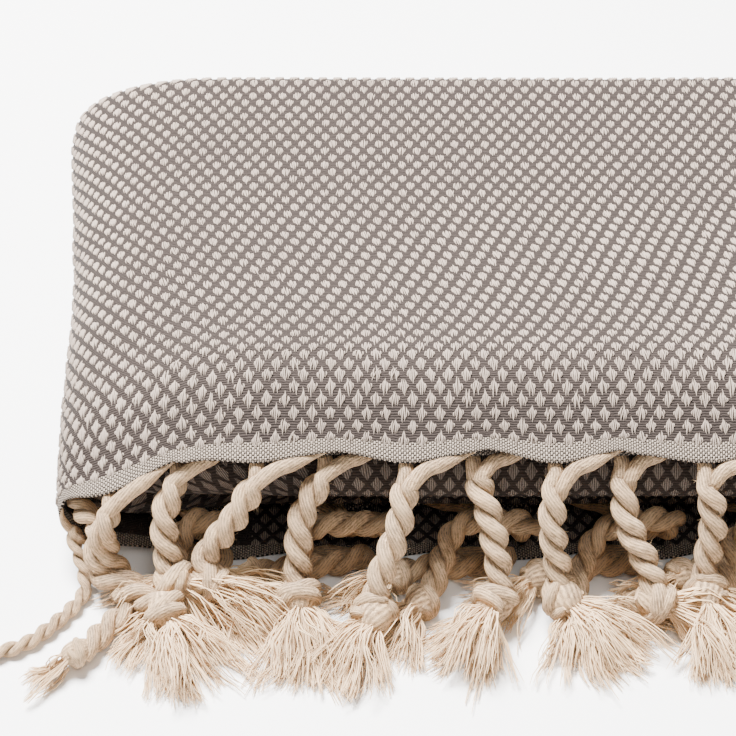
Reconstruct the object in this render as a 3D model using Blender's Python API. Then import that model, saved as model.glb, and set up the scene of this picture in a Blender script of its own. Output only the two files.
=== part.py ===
"""A hammam hand towel, 500 x 900 mm with a knotted fringe at both ends, lying folded. Metres, +Z up.

The towel is doubled end to end, folded back and forth in thirds, and doubled side to side last, so its
twelve layers are one sheet. All four fringed edges come out at the front, -Y: two under the top surface
and two on the ground. The side fold is on the left, -X.
"""

import math

import bpy
import numpy as np

MM = 0.001

# The towel as woven
TOWEL_WIDTH = 500 * MM
TOWEL_LENGTH = 900 * MM
SHEET = 1.4 * MM

# The folded layers, by their distance from the plane midway up, where the side fold closes
LAYER_PITCH = 4.0 * MM
INNER_LEVEL = 2.4 * MM
OUTER_LEVEL = INNER_LEVEL + 5 * LAYER_PITCH
MID_HEIGHT = OUTER_LEVEL + SHEET / 2

# The side fold's nose is half an ellipse, longer on the outer layers
NOSE_STRETCH = 0.70
NOSE_STAGGER = 0.60

# Where the folds lie, measured back from the top front edge: on the top half, on the bottom half
EDGE_OUTER = (0.0, 4.5 * MM)
EDGE_INNER = (2.0 * MM, 18.5 * MM)
FRONT_TURN = (8.5 * MM, 20.0 * MM)
BACK_TURN = (147.5 * MM, 156.0 * MM)

# The top surface from front to back: distance along the cloth, slope in degrees (up towards the back)
TOP_SLOPES = (
    (-10.0 * MM, 33.0),
    (13.0 * MM, 33.0),
    (24.0 * MM, 3.0),
    (30.0 * MM, -14.0),
    (42.0 * MM, -8.0),
    (60.0 * MM, -5.0),
    (80.0 * MM, -4.0),
    (100.0 * MM, -1.0),
    (120.0 * MM, 2.0),
    (160.0 * MM, 3.0),
)
BACK_SHIFT = -11.0 * MM
BACK_SHIFT_BAND = (25.0 * MM, 100.0 * MM)
CORNER_DROOP = 0.20
CORNER_WIDTH = 45.0 * MM
CORNER_DEPTH = 60.0 * MM

# Mesh stations: shares of a pass, and steps round the folds
TOP_PASS = (0.0, 0.045, 0.09, 0.15, 0.21, 0.30, 0.45, 0.62, 0.80, 1.0)
INNER_PASS = (0.0, 0.10, 0.20, 0.40, 0.70, 1.0)
FLAT_STEPS = 3
NOSE_STEPS = 10
TURN_STEPS = 5
END_TURN_STEPS = 3

# The fringe: one strip along each end, and a knotted cord from every section of warp
STRIP_GAP = 0.9 * MM
STRIP_DEPTH = 2.0 * MM
STRIP_THICKNESS = 2.2 * MM
NECK_BACK = -4.0 * MM
NECK_RADIUS = 0.9 * MM
CORD_SPACING = 32.6 * MM
CORDS_PER_END = 15
FIRST_CORD_OUTER = 33.9 * MM
FIRST_CORD_INNER = 22.9 * MM
CORD_SIDES = 6
LOWEST_HANGING_ROOT = 0.52

# A cord that hangs, from the end of its neck: reach forward, share of the drop left, radius at the knot and off it
HANGING = (
    (1.0 * MM, 0.90, 2.6 * MM),
    (3.5 * MM, 0.55, 3.0 * MM),
    (5.5 * MM, 0.25, 3.0 * MM),
    (7.0 * MM, 0.00, 4.6 * MM),
    (11.5 * MM, -0.02, 3.3 * MM),
    (19.0 * MM, -0.03, 3.6 * MM),
)
HANGING_REST = 13.0 * MM
HANGING_LEAN = 0.10

# A cord that lies on the ground, from the end of its neck: distance along it, radius
LYING = (
    (2.0 * MM, 2.4 * MM),
    (7.0 * MM, 2.8 * MM),
    (20.0 * MM, 2.8 * MM),
    (34.0 * MM, 2.8 * MM),
    (42.0 * MM, 3.8 * MM),
    (48.0 * MM, 2.9 * MM),
    (58.0 * MM, 2.9 * MM),
)
LYING_STRAIGHT = 4.0 * MM
LYING_ANGLE = math.radians(33.0)
LYING_DESCENT = 14.0 * MM
INNER_DRIFT = -9.3 * MM
INNER_LIFT = 1.0 * MM

CREAM = (0.80, 0.71, 0.58, 1.0)
GREIGE = (0.42, 0.38, 0.35, 1.0)


def between(pair, share):
    return pair[0] + (pair[1] - pair[0]) * share


def ease(value):
    value = min(max(value, 0.0), 1.0)
    return value * value * (3.0 - 2.0 * value)


def top_profile():
    """Along the cloth, over the ground, and height as a share of the crest's, from the table of slopes."""
    along = np.linspace(TOP_SLOPES[0][0], TOP_SLOPES[-1][0], 341)
    slope = np.radians(np.interp(along, [row[0] for row in TOP_SLOPES], [row[1] for row in TOP_SLOPES]))
    step = np.diff(along)
    middle = (slope[1:] + slope[:-1]) / 2
    ground = np.concatenate([[0.0], np.cumsum(step * np.cos(middle))])
    height = np.concatenate([[0.0], np.cumsum(step * np.sin(middle))])
    return along, ground - np.interp(0.0, along, ground), 1.0 + (height - height.max()) / (2 * MID_HEIGHT)


ALONG, GROUND, HEIGHT_SHARE = top_profile()


def nose(level):
    """The side fold of a layer: x of its tip, its reach, and the length of a quarter of the ellipse."""
    reach = level * (1.0 + NOSE_STRETCH * level / OUTER_LEVEL)
    tip = NOSE_STAGGER * (OUTER_LEVEL - level)
    total = reach + level
    quarter = math.pi / 4 * (3 * total - math.sqrt((3 * reach + level) * (reach + 3 * level)))
    return tip, reach, quarter


def side_stations():
    """Stations round the side fold, (part, share), from the top selvedge to the bottom one."""
    top = [("top", 1.0 - i / FLAT_STEPS) for i in range(FLAT_STEPS)]
    turn = [("nose", i / NOSE_STEPS) for i in range(NOSE_STEPS + 1)]
    return top + turn + [("bottom", (i + 1) / FLAT_STEPS) for i in range(FLAT_STEPS)]


def station_at(distance, level):
    """The station that lies this far from the top selvedge, along a layer."""
    quarter = nose(level)[2]
    flat = TOWEL_WIDTH / 2 - quarter
    if distance < flat:
        return "top", 1.0 - distance / flat
    if distance > TOWEL_WIDTH - flat:
        return "bottom", (distance - TOWEL_WIDTH + flat) / flat
    shares = np.linspace(0.0, 1.0, 121)
    places = np.array([side_point(("nose", share), level) for share in shares])
    lengths = np.concatenate([[0.0], np.cumsum(np.hypot(*np.diff(places, axis=0).T))])
    return "nose", float(np.interp((distance - flat) / (2 * quarter), lengths / lengths[-1], shares))


def side_point(station, level):
    """x, and height from the plane midway up, of a layer at a station round the side fold."""
    tip, reach, quarter = nose(level)
    part, share = station
    if part == "nose":
        angle = math.pi * share
        return tip + reach * (1.0 - math.sin(angle)), level * math.cos(angle)
    run = (TOWEL_WIDTH / 2 - quarter) * share
    return tip + reach + run, level if part == "top" else -level


def lower_share(station):
    """0 on the top half, 1 on the bottom half, and between them round the side fold."""
    part, share = station
    return {"top": 0.0, "bottom": 1.0}.get(part, ease(share))


def settled(station, back, level):
    """The point of the folded towel at a station, a distance back along its layer, on a level."""
    x, height = side_point(station, level)
    ground = np.interp(back, ALONG, GROUND)
    share = np.interp(back, ALONG, HEIGHT_SHARE)
    corner = ease(1.0 - x / CORNER_WIDTH) * ease(1.0 - back / CORNER_DEPTH)
    base = SHEET / 2
    z = base + (MID_HEIGHT + height - base) * share * (1.0 - CORNER_DROOP * corner)
    shift = (ground - BACK_SHIFT_BAND[0]) / (BACK_SHIFT_BAND[1] - BACK_SHIFT_BAND[0])
    return np.array([x + BACK_SHIFT * ease(shift), ground, z])


def turn_points(centre, middle, radius, way):
    """Points round a front (-1) or back (+1) turn, from the level above its middle to the one below."""
    points = []
    for i in range(1, TURN_STEPS):
        angle = math.pi * i / TURN_STEPS
        points.append((centre + way * radius * math.sin(angle), middle + radius * math.cos(angle)))
    return points


def sheet_of_pair(station, outer):
    """(distance back, level) along one sheet of the pair, from its fringed edge to the end-to-end fold."""
    lower = lower_share(station)
    side = LAYER_PITCH / 2 if outer else -LAYER_PITCH / 2
    edge = between(EDGE_OUTER if outer else EDGE_INNER, lower)
    front = between(FRONT_TURN, lower)
    back = between(BACK_TURN, lower)
    end = front + end_pass(lower)
    pass_one, pass_two, pass_three = (INNER_LEVEL + k * LAYER_PITCH for k in (4.5, 2.5, 0.5))
    points = [(edge + (back - edge) * share, pass_one + side) for share in TOP_PASS]
    points += turn_points(back, (pass_one + pass_two) / 2, LAYER_PITCH + side, 1)
    points += [(front + (back - front) * share, pass_two - side) for share in INNER_PASS[::-1]]
    points += turn_points(front, (pass_two + pass_three) / 2, LAYER_PITCH - side, -1)
    return points + [(front + (end - front) * share, pass_three + side) for share in INNER_PASS]


def end_pass(lower):
    """Length of the third pass, which is what the other two and their turns leave of half the towel."""
    passes = 2 * between(BACK_TURN, lower) - between(EDGE_OUTER, lower) - between(FRONT_TURN, lower)
    return TOWEL_LENGTH / 2 - passes - 2 * math.pi * LAYER_PITCH


def towel_line(station):
    """(distance back, level) of the whole towel at a station, from one fringed edge to the other."""
    outer = sheet_of_pair(station, True)
    inner = sheet_of_pair(station, False)
    end = outer[-1][0]
    middle = INNER_LEVEL + LAYER_PITCH / 2
    fold = []
    for i in range(1, END_TURN_STEPS):
        angle = math.pi * i / END_TURN_STEPS
        fold.append((end + LAYER_PITCH / 2 * math.sin(angle), middle + LAYER_PITCH / 2 * math.cos(angle)))
    return outer + fold + inner[::-1]


def grid_normals(grid):
    across = np.gradient(grid, axis=0)
    along = np.gradient(grid, axis=1)
    normals = np.cross(across, along)
    return normals / np.linalg.norm(normals, axis=2, keepdims=True)


def thick_sheet(grid, thickness):
    """Vertices and faces of a closed sheet, half its thickness to each side of a grid of points."""
    rows, columns = grid.shape[:2]
    offset = grid_normals(grid) * thickness / 2
    vertices = np.concatenate([(grid + offset).reshape(-1, 3), (grid - offset).reshape(-1, 3)])
    number = np.arange(rows * columns).reshape(rows, columns)
    other = number + rows * columns
    faces = []
    for i in range(rows - 1):
        for j in range(columns - 1):
            a, b, c, d = number[i, j], number[i + 1, j], number[i + 1, j + 1], number[i, j + 1]
            faces.append((a, b, c, d))
            faces.append(tuple(k + rows * columns for k in (d, c, b, a)))
    loop = list(number[:, 0]) + list(number[-1, 1:]) + list(number[-2::-1, -1]) + list(number[0, -2:0:-1])
    for a, b in zip(loop, loop[1:] + loop[:1]):
        faces.append((b, a, other.flat[a], other.flat[b]))
    return vertices, faces


def tube(points, radii, sides):
    """Vertices and faces of a closed tube through points, with a radius at each."""
    points = np.array(points)
    run = np.gradient(points, axis=0)
    run /= np.linalg.norm(run, axis=1, keepdims=True)
    side = np.cross(run, (0.0, 0.0, 1.0))
    side[np.linalg.norm(side, axis=1) < 0.2] = (1.0, 0.0, 0.0)
    side /= np.linalg.norm(side, axis=1, keepdims=True)
    up = np.cross(side, run)
    vertices = []
    for place, radius, a, b in zip(points, radii, side, up):
        for k in range(sides):
            angle = 2 * math.pi * (k + 0.5) / sides
            vertices.append(place + radius * (math.cos(angle) * a + math.sin(angle) * b))
    faces = [tuple(range(sides)), tuple(len(vertices) - 1 - k for k in range(sides))]
    for ring in range(len(points) - 1):
        for k in range(sides):
            a, b = ring * sides + k, ring * sides + (k + 1) % sides
            faces.append((a, a + sides, b + sides, b))
    return vertices, faces


def new_material(name, colour, roughness):
    material = bpy.data.materials.new(name)
    material.use_nodes = True
    shader = material.node_tree.nodes["Principled BSDF"]
    shader.inputs["Base Color"].default_value = colour
    shader.inputs["Roughness"].default_value = roughness
    shader.inputs["Metallic"].default_value = 0.0
    return material


def new_object(name, vertices, faces, origin, material):
    """A mesh object of these faces, facing out, with the frame's origin taken from its points."""
    vertices = np.array(vertices) - origin
    mesh = bpy.data.meshes.new(name)
    mesh.from_pydata([tuple(v) for v in vertices], [], [tuple(int(k) for k in f) for f in faces])
    if signed_volume(mesh) < 0:
        mesh.flip_normals()
    mesh.shade_smooth()
    mesh.set_sharp_from_angle(angle=math.radians(50))
    mesh.materials.append(material)
    obj = bpy.data.objects.new(name, mesh)
    bpy.context.scene.collection.objects.link(obj)
    return obj


def signed_volume(mesh):
    mesh.calc_loop_triangles()
    total = 0.0
    for triangle in mesh.loop_triangles:
        a, b, c = (mesh.vertices[k].co for k in triangle.vertices)
        total += a.dot(b.cross(c)) / 6.0
    return total


def edge_back(station, outer):
    return between(EDGE_OUTER if outer else EDGE_INNER, lower_share(station))


def fringe_strip(outer):
    """The strip that the cords hang from, along one end of the towel."""
    level = OUTER_LEVEL if outer else OUTER_LEVEL - LAYER_PITCH
    rows = []
    for station in side_stations():
        near = edge_back(station, outer) - STRIP_GAP
        for back, half in ((near, 1), (near, -1), (near - STRIP_DEPTH, -1), (near - STRIP_DEPTH, 1)):
            point = settled(station, back, level + half * STRIP_THICKNESS / 2)
            rows.append((point[0], point[1], max(point[2], 0.0)))
    faces = [(0, 1, 2, 3), tuple(len(rows) - 1 - k for k in range(4))]
    for ring in range(len(rows) // 4 - 1):
        for k in range(4):
            a, b = 4 * ring + k, 4 * ring + (k + 1) % 4
            faces.append((a, a + 4, b + 4, b))
    return rows, faces


def hanging_cord(neck, lean):
    points = []
    for reach, left, _ in HANGING:
        z = HANGING_REST + (neck[2] - HANGING_REST) * left
        points.append((neck[0] - lean * reach, neck[1] - reach, z))
    return points, [row[2] for row in HANGING]


def lying_cord(neck):
    """A cord that runs forward off its edge and then slants left over the ground."""
    points = []
    for along, radius in LYING:
        forward = min(along, LYING_STRAIGHT)
        slant = along - forward
        drop = (neck[2] - radius) * max(0.0, 1.0 - along / LYING_DESCENT)
        x = neck[0] - slant * math.cos(LYING_ANGLE)
        y = neck[1] - forward - slant * math.sin(LYING_ANGLE)
        points.append((x, y, radius + max(0.0, drop)))
    return points, [row[1] for row in LYING]


def fringe_cords(outer):
    """The cords of one end as one mesh of separate closed tubes."""
    level = OUTER_LEVEL if outer else OUTER_LEVEL - LAYER_PITCH
    first = FIRST_CORD_OUTER if outer else FIRST_CORD_INNER
    vertices, faces = [], []
    for i in range(CORDS_PER_END):
        station = station_at(first + i * CORD_SPACING, level)
        root = settled(station, edge_back(station, outer) - STRIP_GAP - STRIP_DEPTH / 2, level)
        neck = settled(station, NECK_BACK, level)
        root[2], neck[2] = max(root[2], NECK_RADIUS), max(neck[2], NECK_RADIUS)
        if station[0] == "top" or (station[0] == "nose" and station[1] < LOWEST_HANGING_ROOT):
            points, radii = hanging_cord(neck, HANGING_LEAN * (1 + i % 3))
        else:
            if not outer:
                neck += (INNER_DRIFT, 0.0, INNER_LIFT)
            points, radii = lying_cord(neck)
        ring, sides = tube([root, neck] + points, [NECK_RADIUS, NECK_RADIUS] + radii, CORD_SIDES)
        faces += [tuple(k + len(vertices) for k in face) for face in sides]
        vertices += list(ring)
    return vertices, faces


def main():
    for obj in list(bpy.data.objects):
        bpy.data.objects.remove(obj, do_unlink=True)
    lines = [[settled(station, back, level) for back, level in towel_line(station)] for station in side_stations()]
    vertices, faces = thick_sheet(np.array(lines), SHEET)
    strips = {outer: fringe_strip(outer) for outer in (True, False)}
    cords = {outer: fringe_cords(outer) for outer in (True, False)}
    everything = np.concatenate([vertices] + [np.array(part[0]) for part in (*strips.values(), *cords.values())])
    low, high = everything.min(axis=0), everything.max(axis=0)
    origin = np.array([(low[0] + high[0]) / 2, (low[1] + high[1]) / 2, 0.0])
    woven = new_material("woven_cotton", GREIGE, 0.92)
    twisted = new_material("twisted_cotton", CREAM, 0.95)
    new_object("towel_cloth", vertices, faces, origin, woven)
    for outer, name in ((True, "fringe_outer"), (False, "fringe_inner")):
        strip = new_object(name, *strips[outer], origin, twisted)
        helper = new_object(name + "_cords", *cords[outer], origin, twisted)
        helper.hide_render = True
        helper.display_type = "WIRE"
        union = strip.modifiers.new("cords", "BOOLEAN")
        union.operation = "UNION"
        union.object = helper


main()
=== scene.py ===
"""A folded hammam hand towel: one woven sheet in twelve layers, with a knotted fringe at both ends."""

import math

import bpy
import numpy as np
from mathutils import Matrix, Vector


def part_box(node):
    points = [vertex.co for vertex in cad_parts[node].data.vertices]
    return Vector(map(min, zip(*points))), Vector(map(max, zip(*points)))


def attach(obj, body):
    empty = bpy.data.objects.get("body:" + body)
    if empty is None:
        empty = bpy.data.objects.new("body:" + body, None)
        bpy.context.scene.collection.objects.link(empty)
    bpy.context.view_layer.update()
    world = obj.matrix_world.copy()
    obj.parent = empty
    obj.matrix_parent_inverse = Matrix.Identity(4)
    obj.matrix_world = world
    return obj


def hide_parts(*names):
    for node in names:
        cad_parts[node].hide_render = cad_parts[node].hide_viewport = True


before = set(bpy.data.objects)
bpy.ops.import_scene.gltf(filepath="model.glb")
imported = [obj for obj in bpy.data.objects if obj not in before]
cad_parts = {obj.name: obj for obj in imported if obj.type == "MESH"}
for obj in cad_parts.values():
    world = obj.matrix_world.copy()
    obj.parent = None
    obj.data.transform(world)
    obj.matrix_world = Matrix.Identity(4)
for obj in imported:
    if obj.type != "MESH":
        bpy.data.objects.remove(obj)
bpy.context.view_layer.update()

MM = 0.001
random = np.random.default_rng(7)

# ---------------- the towel's folds, as in the CAD model
# A level is a layer's distance from the plane halfway up the stack
TOWEL_WIDTH = 500 * MM
TOWEL_LENGTH = 900 * MM
CAD_SHEET = 1.4 * MM
LAYER_PITCH = 4.0 * MM
INNER_LEVEL = 2.4 * MM
OUTER_LEVEL = INNER_LEVEL + 5 * LAYER_PITCH
MID_HEIGHT = OUTER_LEVEL + CAD_SHEET / 2
# The side fold: how much further it reaches than it is high, and how far in the inner layers start
NOSE_STRETCH = 0.70
NOSE_STAGGER = 0.60
# How far back the fringed edges and the turns lie, on the top half and on the bottom half
EDGE_OUTER = (0.0, 4.5 * MM)
EDGE_INNER = (4.2 * MM, 18.5 * MM)
FRONT_TURN = (8.5 * MM, 20.0 * MM)
BACK_TURN = (147.5 * MM, 156.0 * MM)
# The top's slope in degrees, by millimetres back along it
TOP_SLOPES = (
    (-10, 33), (13, 33), (24, 3), (30, -14), (42, -8), (60, -5), (80, -4), (100, -1), (120, 2), (160, 3),
)
PROFILE_POINTS = 341
# How far the stack leans to the left at the back, and where it does
BACK_SHIFT = -11.0 * MM
BACK_SHIFT_BAND = (25.0 * MM, 100.0 * MM)
# How far the front left corner sinks, as a share of its height, and over what size
CORNER_DROOP = 0.20
CORNER_WIDTH = 45.0 * MM
CORNER_DEPTH = 60.0 * MM
CORD_SPACING = 32.6 * MM
CORDS_PER_END = 15
FIRST_CORD = {True: 33.9 * MM, False: 22.9 * MM}
# In a front turn every layer lies sideways where one on TURN_LEVEL would. That sets in over TURN_FADE past
# the side fold and PULL_START along the cloth, and fades over PULL_DEPTH behind the turn.
TURN_LEVEL = INNER_LEVEL + 1.5 * LAYER_PITCH
TURN_FADE = 30 * MM
PULL_DEPTH = 45 * MM
PULL_START = 20 * MM
NOSE_POINTS = 181
# How far the side fold leans out or in, from the front to the back
NOSE_DRIFT = (
    np.array([0.0, 17.0, 32.0, 48.0, 66.0, 84.0, 104.0, 126.0, 140.0]) * MM,
    np.array([-2.4, -3.2, -4.0, -2.6, 0.4, 2.3, 0.9, -2.2, -4.0]) * MM,
)
# The cloth's lowest x and y before the frame's origin was taken off
FOLD_LOW = (-11.7 * MM, -0.38 * MM)
RUMPLE = 0.008


def between(pair, share):
    """The value this share of the way from the first to the second."""
    return pair[0] + (pair[1] - pair[0]) * share


def ease(value):
    """A smooth step from 0 to 1."""
    value = np.clip(value, 0.0, 1.0)
    return value * value * (3.0 - 2.0 * value)


def top_profile():
    """Distances back along the top, their places over the ground, and the stack's height there as a share."""
    backs, degrees = np.array(TOP_SLOPES, float).T
    along = np.linspace(backs[0] * MM, backs[-1] * MM, PROFILE_POINTS)
    slope = np.radians(np.interp(along, backs * MM, degrees))
    step = np.diff(along)
    middle = (slope[1:] + slope[:-1]) / 2
    ground = np.concatenate([[0.0], np.cumsum(step * np.cos(middle))])
    height = np.concatenate([[0.0], np.cumsum(step * np.sin(middle))])
    return along, ground - np.interp(0.0, along, ground), 1.0 + (height - height.max()) / (2 * MID_HEIGHT)


def nose(level):
    """The side fold on a level, half an ellipse: where its tip is, how far it reaches, a quarter's length."""
    reach = level * (1.0 + NOSE_STRETCH * level / OUTER_LEVEL)
    tip = NOSE_STAGGER * (OUTER_LEVEL - level)
    total = reach + level
    quarter = math.pi / 4 * (3 * total - np.sqrt((3 * reach + level) * (reach + 3 * level)))
    return tip, reach, quarter


def nose_arc():
    """Share of the half ellipse's length against share of its angle, for the outer layer."""
    share = np.linspace(0.0, 1.0, NOSE_POINTS)
    reach = nose(OUTER_LEVEL)[1]
    places = np.stack([reach * np.sin(math.pi * share), OUTER_LEVEL * np.cos(math.pi * share)])
    length = np.concatenate([[0.0], np.cumsum(np.hypot(*np.diff(places, axis=1)))])
    return length / length[-1], share


ALONG, GROUND, HEIGHT_SHARE = top_profile()
ARC_LENGTH, ARC_ANGLE = nose_arc()
cloth_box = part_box("towel_cloth")
ORIGIN = np.array([FOLD_LOW[0] - cloth_box[0][0], FOLD_LOW[1] - cloth_box[0][1], 0.0])


def side_place(across, level):
    """x, height from the middle plane and lower share, this far across the towel on a level."""
    tip, reach, quarter = nose(level)
    flat = TOWEL_WIDTH / 2 - quarter
    run = np.maximum(flat - across, 0.0) + np.maximum(across - TOWEL_WIDTH + flat, 0.0)
    turned = np.interp(np.clip((across - flat) / (2 * quarter), 0.0, 1.0), ARC_LENGTH, ARC_ANGLE)
    angle = math.pi * turned
    return tip + reach * (1.0 - np.sin(angle)) + run, level * np.cos(angle), ease(turned)


def rumple(x, y):
    """Soft unevenness of the whole stack, as a share of its height."""
    mm_x, mm_y = x / MM, y / MM
    wave = 0.30 * np.sin(mm_x / 19.0 + mm_y / 31.0) + 0.25 * np.sin(mm_x / 41.0 - mm_y / 17.0 + 1.3)
    return RUMPLE * (wave + 0.2 * np.sin(mm_x / 11.0 + 0.7) * np.sin(mm_y / 13.0))


def flat_offset(level):
    """How far the side fold moves the flat part of a level."""
    tip, reach, quarter = nose(level)
    return tip + reach - quarter


def settled(across, back, level, pull=0.0):
    """Points of the folded towel in the frame: this far across, this far back on its layer, on a level."""
    x, height, _ = side_place(across, level)
    ground = np.interp(back, ALONG, GROUND)
    # Layers that meet in a front turn lie square over each other there
    beyond_nose = ease((x - nose(OUTER_LEVEL)[1]) / TURN_FADE)
    x = x + pull * beyond_nose * (flat_offset(TURN_LEVEL) - flat_offset(level))
    tip_share = np.clip(1.0 - (x - nose(level)[0]) / nose(level)[1], 0.0, 1.0) ** 1.5
    x = x + tip_share * np.interp(ground, *NOSE_DRIFT)
    share = np.interp(back, ALONG, HEIGHT_SHARE)
    corner = ease(1.0 - x / CORNER_WIDTH) * ease(1.0 - back / CORNER_DEPTH)
    base = CAD_SHEET / 2
    share = share * (1.0 - CORNER_DROOP * corner) * (1.0 + rumple(x, ground))
    shift = ease((ground - BACK_SHIFT_BAND[0]) / (BACK_SHIFT_BAND[1] - BACK_SHIFT_BAND[0]))
    points = np.stack([x + BACK_SHIFT * shift, ground, base + (MID_HEIGHT + height - base) * share], axis=-1)
    return points - ORIGIN


# ---------------- edges and scallops
SCALLOP = 2.7 * MM
SCALLOP_FADE = 12.0 * MM
HEADING = 4.6 * MM
SHEET_THICKNESS = 1.3 * MM
EDGE_THICKNESS = 0.6 * MM


def scallop(across, along, outer):
    """How far back the edge is drawn between its cords, each scallop a little different."""
    turns = (across - FIRST_CORD[outer]) / CORD_SPACING
    size = SCALLOP * (1.0 + 0.25 * np.sin(2.4 * np.round(turns)))
    fade = np.clip(1.0 - along / SCALLOP_FADE, 0.0, 1.0) ** 2
    return size * (1.0 - np.cos(2 * math.pi * turns)) / 2 * fade


# ---------------- mesh helpers
CURVE_STEPS = 8


def new_piece(name, points, faces, material, uv=None, deep=None):
    """A mesh object from arrays of points and faces. Each point may have a uv and a share of painted shade.
    """
    mesh = bpy.data.meshes.new(name)
    faces = [np.asarray(block) for block in faces if len(block)]
    corners = np.concatenate([block.ravel() for block in faces])
    sizes = np.concatenate([np.full(len(block), block.shape[1]) for block in faces])
    starts = np.concatenate([[0], np.cumsum(sizes)[:-1]])
    mesh.vertices.add(len(points))
    mesh.vertices.foreach_set("co", np.asarray(points, np.float32).ravel())
    mesh.loops.add(len(corners))
    mesh.loops.foreach_set("vertex_index", corners.astype(np.int32))
    mesh.polygons.add(len(sizes))
    mesh.polygons.foreach_set("loop_start", starts.astype(np.int32))
    mesh.update(calc_edges=True)
    mesh.validate()
    if uv is not None:
        layer = mesh.uv_layers.new(name="cloth")
        index = np.empty(len(mesh.loops), np.int32)
        mesh.loops.foreach_get("vertex_index", index)
        layer.data.foreach_set("uv", np.asarray(uv, np.float32)[index].ravel())
    if deep is not None:
        mesh.attributes.new("deep", "FLOAT", "POINT").data.foreach_set("value", np.asarray(deep, np.float32))
    mesh.shade_smooth()
    mesh.materials.append(material)
    obj = bpy.data.objects.new(name, mesh)
    bpy.context.scene.collection.objects.link(obj)
    return obj


class Heap:
    """Many small shapes gathered into the arrays of one mesh."""

    def __init__(self):
        self.points, self.uv, self.deep = [], [], []
        self.quads, self.triangles = [], []
        self.count = 0

    def add(self, points, uv, quads=(), triangles=(), deep=0.0):
        self.points.append(np.asarray(points).reshape(-1, 3))
        self.uv.append(np.asarray(uv).reshape(-1, 2))
        self.deep.append(np.broadcast_to(deep, points.shape[:-1]).ravel())
        if len(quads):
            self.quads.append(np.asarray(quads).reshape(-1, 4) + self.count)
        if len(triangles):
            self.triangles.append(np.asarray(triangles).reshape(-1, 3) + self.count)
        self.count += len(self.points[-1])

    def piece(self, name, material):
        faces = [np.concatenate(block) for block in (self.quads, self.triangles) if block]
        arrays = (np.concatenate(block) for block in (self.uv, self.deep))
        return new_piece(name, np.concatenate(self.points), faces, material, *arrays)


def unit(vectors):
    """The vectors at length 1."""
    return vectors / np.maximum(np.linalg.norm(vectors, axis=-1, keepdims=True), 1e-12)


def run_length(path):
    """Distance along a path at each of its points."""
    return np.concatenate([[0.0], np.cumsum(np.linalg.norm(np.diff(path, axis=0), axis=1))])


def numbered(points):
    """The number of each point of a grid of points."""
    return np.arange(points.size // 3).reshape(points.shape[:-1])


def grid_quads(number):
    """The quads of a grid of point numbers."""
    corners = [number[:-1, :-1], number[1:, :-1], number[1:, 1:], number[:-1, 1:]]
    return np.stack(corners, axis=-1).reshape(-1, 4)


def smooth_path(points, count):
    """Points evenly along a Catmull-Rom curve through the given ones."""
    points = np.asarray(points, float)
    padded = np.concatenate([[2 * points[0] - points[1]], points, [2 * points[-1] - points[-2]]])
    t = np.arange(CURVE_STEPS)[:, None] / CURVE_STEPS
    curve = []
    for a, b, c, d in zip(padded, padded[1:], padded[2:], padded[3:]):
        square = (2 * a - 5 * b + 4 * c - d) * t**2
        cube = (3 * b - a - 3 * c + d) * t**3
        curve.append(0.5 * (2 * b + (c - a) * t + square + cube))
    curve = np.concatenate(curve + [points[-1:]])
    length = run_length(curve)
    at = np.linspace(0.0, length[-1], count)
    return np.stack([np.interp(at, length, curve[:, k]) for k in range(curve.shape[1])], axis=1)


def carried_frames(path):
    """Two directions across a path at each point, carried along it without turning."""
    run = unit(np.gradient(path, axis=0))
    start = np.array([1.0, 0.0, 0.0]) if abs(run[0][0]) < 0.8 else np.array([0.0, 0.0, 1.0])
    side = [unit(np.cross(np.cross(run[0], start), run[0]))]
    for direction in run[1:]:
        side.append(unit(side[-1] - direction * np.dot(side[-1], direction)))
    side = np.array(side)
    return side, np.cross(run, side)


def add_tube(heap, path, radii, sides, frames=None, core=None, crevice=None):
    """A closed tube along a path. uv is (share of the way round, metres along). It takes painted shade near
    its core.
    """
    path = np.asarray(path)
    side, up = frames if frames else carried_frames(path)
    angle = 2 * math.pi * np.arange(sides + 1) / sides
    radii = np.broadcast_to(radii, len(path))[:, None, None]
    ring = np.cos(angle)[None, :, None] * side[:, None] + np.sin(angle)[None, :, None] * up[:, None]
    points = path[:, None] + radii * ring
    deep = 0.0
    if core is not None:
        distance = np.linalg.norm(points - core[:, None], axis=-1)
        deep = 1.0 - ease((distance - crevice[0]) / (crevice[1] - crevice[0]))
    uv = np.stack(np.broadcast_arrays(angle[None] / (2 * math.pi), run_length(path)[:, None]), axis=-1)
    heap.add(points, uv, grid_quads(numbered(points))[:, ::-1], deep=deep)
    for row, order in ((0, 1), (-1, -1)):
        rim = points[row, :-1]
        fan = [(0, 1 + k, 1 + (k + 1) % sides)[::order] for k in range(sides)]
        heap.add(np.concatenate([path[row][None], rim]), np.zeros((sides + 1, 2)), (), fan)


# ---------------- the sheet's place along its length
# Painted shade inside the stack: over what length past the first pass it sets in, how far back it reaches,
# over what depth it fades, and how much less of it there is on the bottom half
SHADE_START = 8 * MM
SHADE_REACH = 75 * MM
SHADE_FADE = 55 * MM
SHADE_LIFT = 0.9
# The mesh's stations: distances from the edge, then steps on each pass and turn
NEAR_EDGE = np.array([0.0, 1.0, 2.2, 3.8, 6.0, 9.0, 13.0, 18.0, 24.0, 31.0]) * MM
STATION_STEPS = (20, 7, 20, 6, 18)
# Its columns: their pitch on the flat parts, the band round the side fold, and how many lie in the band
COLUMN_PITCH = 4.075 * MM
FOLD_BAND = (196 * MM, 304 * MM)
FOLD_COLUMNS = 46
# Angles of the stations in the end-to-end fold
END_FOLD = (0.8, 1.57, 2.34)
EDGE_TAPER = 4 * MM


def lower_share(across):
    """0 on the top half, 1 on the bottom half, and between them round the side fold."""
    return side_place(across, OUTER_LEVEL)[2]


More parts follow.
